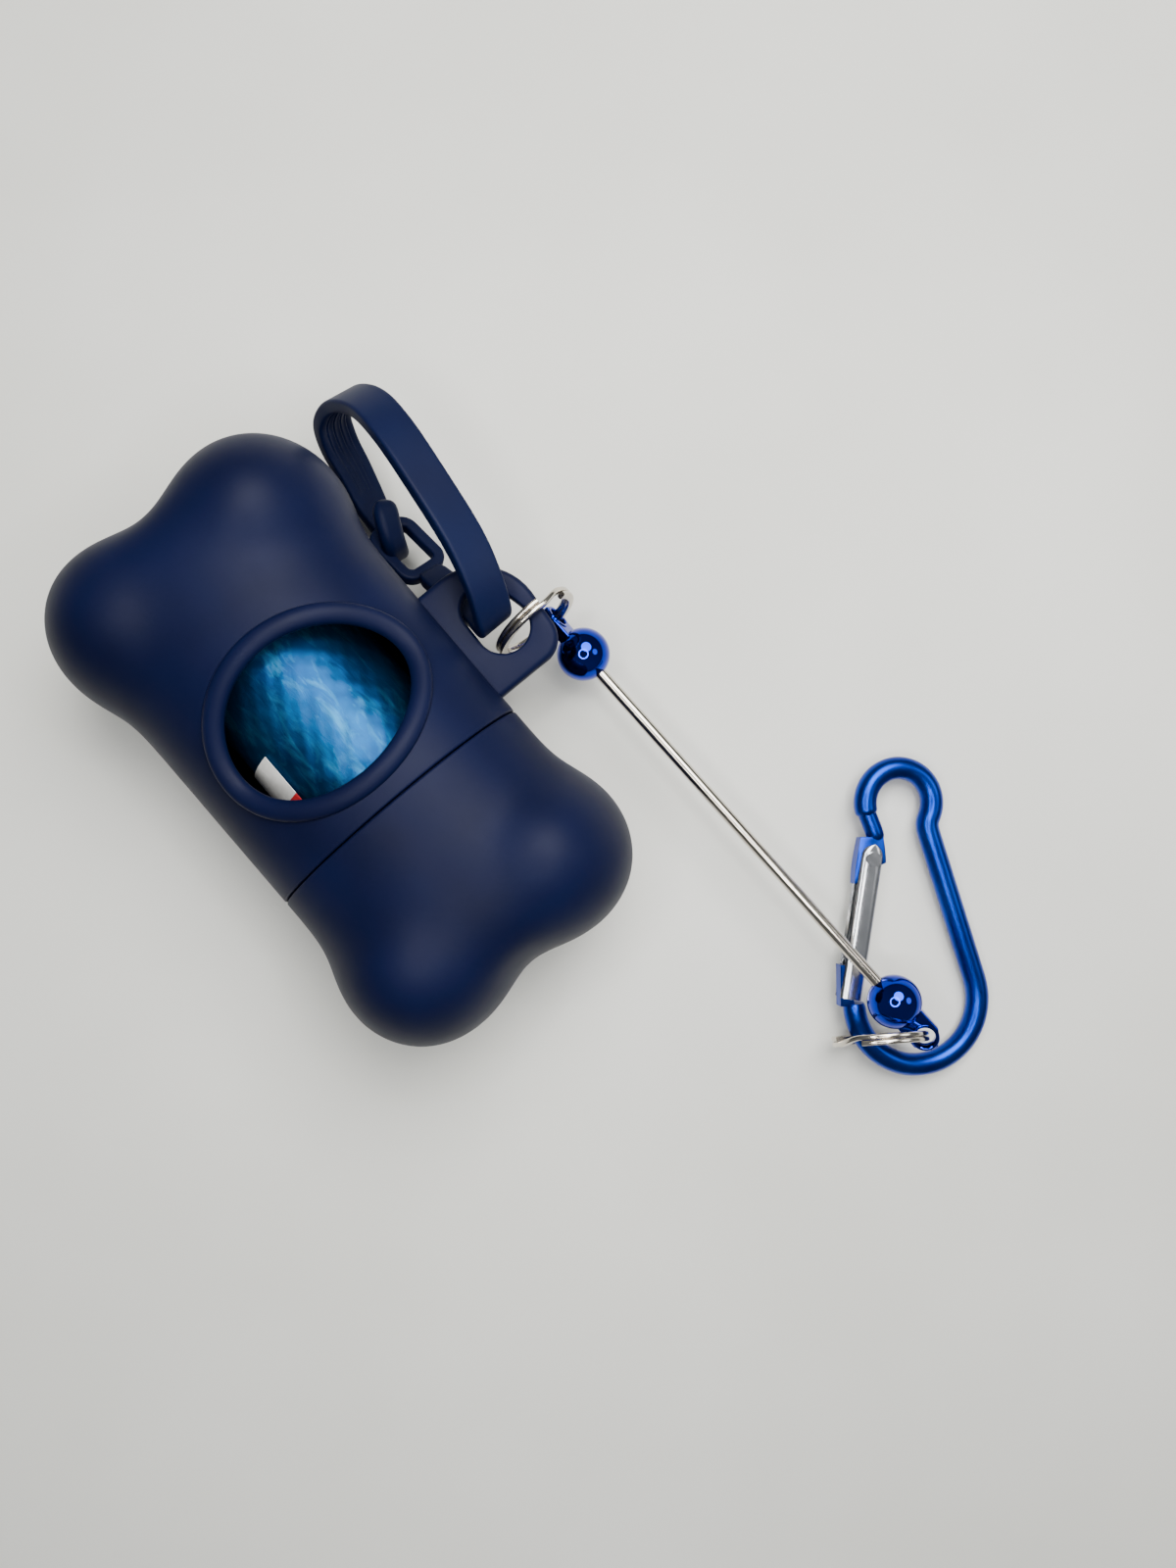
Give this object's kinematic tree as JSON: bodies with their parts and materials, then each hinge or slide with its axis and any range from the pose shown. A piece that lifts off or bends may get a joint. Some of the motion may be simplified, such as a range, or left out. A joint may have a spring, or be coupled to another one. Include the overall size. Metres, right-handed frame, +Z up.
{
  "type": "dog poop bag dispenser",
  "caption": "Bone-shaped bag dispenser lying on its back: pull-off end cap, bag roll behind an oval window, lug with moulded strap, bead bar and snap hook on split rings.",
  "frame": {"origin": "middle of the whole assembly's footprint, on the surface it lies on", "axes": "+Z up out of the window side, +Y along the bone towards its closed end, +X from the bone towards its lug"},
  "size_m": [0.0874, 0.1398, 0.0349],
  "materials": {
    "navy_plastic": "moulded satin, fine grain",
    "strap_plastic": "moulded satin",
    "blue_film": "glossy creased film",
    "cardboard": "raw cardboard",
    "white_paper": "coated paper",
    "nickel_wire": "bright nickel plate",
    "nickel_rod": "bright nickel plate",
    "blue_chrome": "tinted mirror plate",
    "blue_anodised": "satin blue anodised",
    "bright_gate": "bright rolled sheet",
    "spring_wire": "drawn wire"
  },
  "bodies": {
    "dispenser": {"main_shell": "navy_plastic"},
    "cap": {"end_cap": "navy_plastic"},
    "roll": {"bag_roll": "blue_film", "roll_core": "cardboard", "paper_band": "white_paper"},
    "strap": {"strap": "strap_plastic"},
    "upper_ring": {"upper_split_ring": "nickel_wire"},
    "bead_bar": {"upper_ball_eye": "blue_chrome", "bead_rod": "nickel_rod"},
    "screw_ball": {"lower_ball_eye": "blue_chrome"},
    "lower_ring": {"lower_split_ring": "nickel_wire"},
    "snap_hook": {"carabiner_frame": "blue_anodised"},
    "gate": {"gate_sleeve": "bright_gate", "gate_rivet": "bright_gate", "gate_spring": "spring_wire", "gate_plunger": "spring_wire"}
  },
  "joints": [
    {"name": "cap_pull", "type": "slide", "parent": "dispenser", "child": "cap", "axis": [0, -1, 0], "range_m": [0, 0.02]},
    {"name": "roll_spin", "type": "hinge", "parent": "dispenser", "child": "roll", "pos_m": [-0.02016, 0.02696, 0.01651], "axis": [0, 1, 0], "continuous": true},
    {"name": "strap_swing", "type": "hinge", "parent": "dispenser", "child": "strap", "pos_m": [0.00739, 0.03366, 0.01714], "axis": [1, 0, 0], "range_deg": [-15, 4]},
    {"name": "upper_ring_swing", "type": "hinge", "parent": "dispenser", "child": "upper_ring", "pos_m": [0.01249, 0.02279, 0.01714], "axis": [0, 1, 0], "range_deg": [-20, 5]},
    {"name": "bar_swing", "type": "hinge", "parent": "upper_ring", "child": "bead_bar", "pos_m": [0.01404, 0.02191, 0.00814], "axis": [0.9393, 0.0287, 0.3419], "range_deg": [-25, 10]},
    {"name": "ball_unscrew", "type": "slide", "parent": "bead_bar", "child": "screw_ball", "axis": [0.0216, -0.9995, 0.0244], "range_m": [0, 0.008]},
    {"name": "lower_ring_turn", "type": "hinge", "parent": "screw_ball", "child": "lower_ring", "pos_m": [0.01583, -0.06085, 0.01016], "axis": [-0.2593, 0.018, 0.9656], "range_deg": [-8, 8]},
    {"name": "hook_swing", "type": "hinge", "parent": "lower_ring", "child": "snap_hook", "pos_m": [0.00905, -0.05737, 0.00432], "axis": [-0.0914, -0.9928, -0.0778], "range_deg": [-40, 2]},
    {"name": "gate_open", "type": "hinge", "parent": "snap_hook", "child": "gate", "pos_m": [0.02741, -0.0368, 0.00413], "axis": [0.1082, -0.0876, 0.9903], "range_deg": [0, 22], "stiffness_Nm_per_rad": 0.002, "springref_deg": -11.46}
  ]
}
